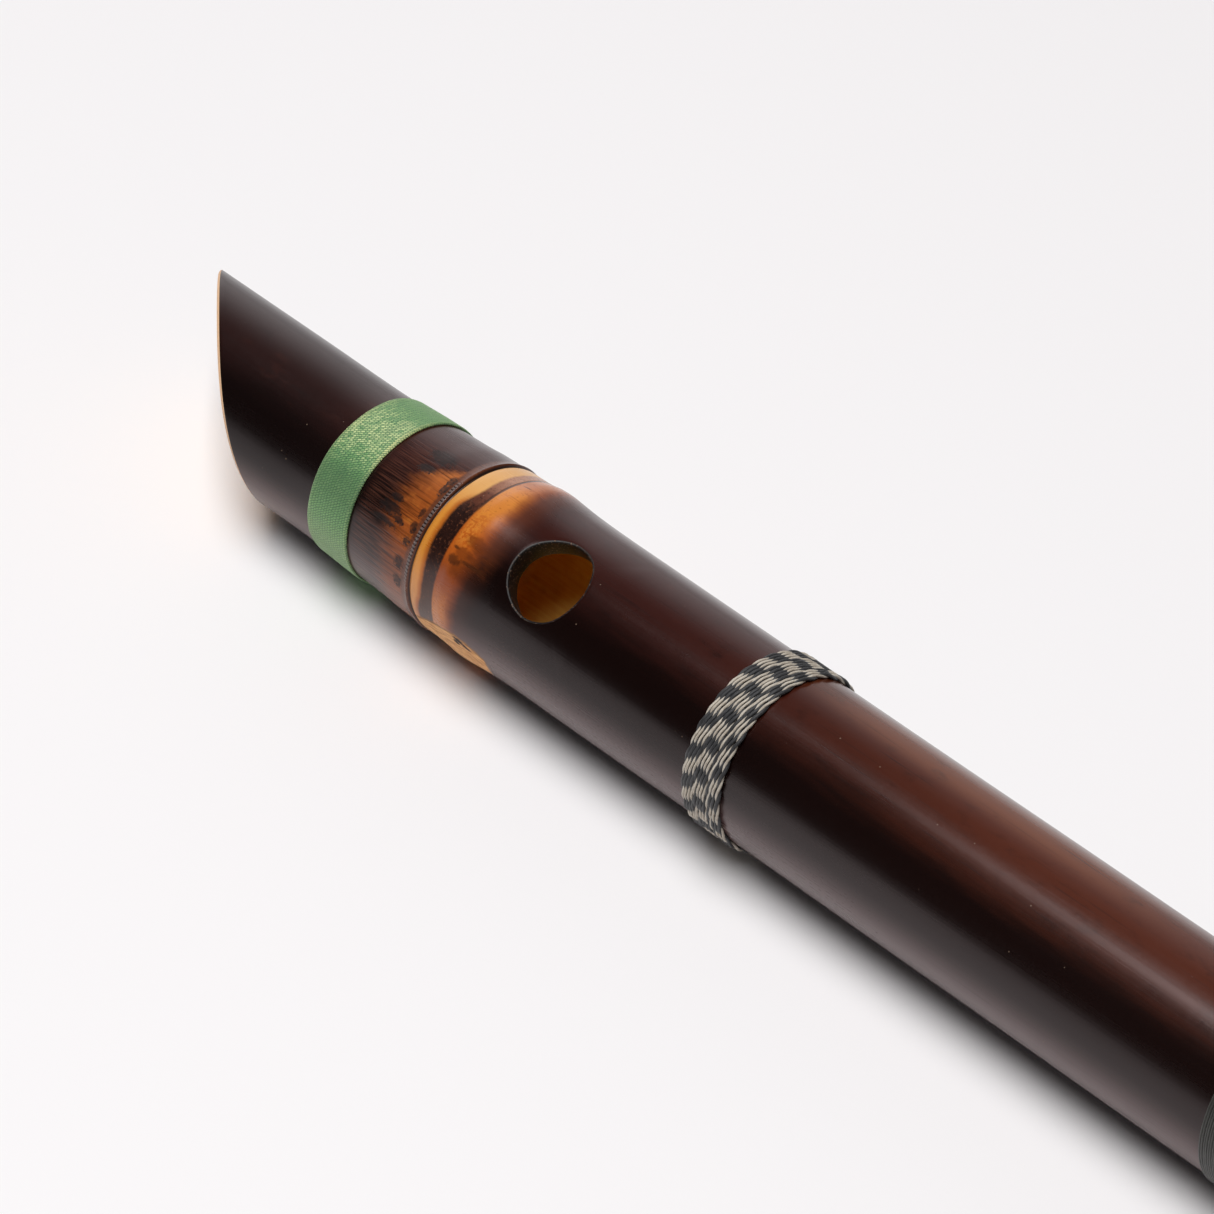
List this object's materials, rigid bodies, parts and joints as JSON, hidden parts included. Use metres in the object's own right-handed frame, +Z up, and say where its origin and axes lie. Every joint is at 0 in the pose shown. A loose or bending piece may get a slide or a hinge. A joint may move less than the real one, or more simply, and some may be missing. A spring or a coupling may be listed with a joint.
{
  "type": "bamboo flute",
  "caption": "Side-blown bamboo flute with a slanted head, a natural node as stopper, an embouchure and finger holes in one row, and wound ribbon, cord and thread bindings.",
  "frame": {"origin": "on the surface the flute lies on, under the middle of its length; the cord bands rest on z = 0", "axes": "+X along the flute from the slanted head to the foot, +Z up; the embouchure and finger holes face up, rolled 29.4 degrees towards -Y"},
  "size_m": [0.5134, 0.0264, 0.0263],
  "materials": {
    "bamboo": "scorched dark brown, polished, with a satin sheen",
    "green_ribbon": "woven green ribbon with a soft sheen",
    "two_tone_cord": "twisted cord of one pale and one black strand",
    "black_thread": "fine black thread, close wound, waxed"
  },
  "bodies": {
    "root": {"bamboo_culm": "bamboo", "head_ribbon": "green_ribbon", "head_cord_band": "two_tone_cord", "upper_thread_binding": "black_thread", "middle_cord_band": "two_tone_cord", "foot_thread_binding": "black_thread", "foot_cord_band": "two_tone_cord", "foot_ribbon": "green_ribbon"}
  },
  "joints": []
}
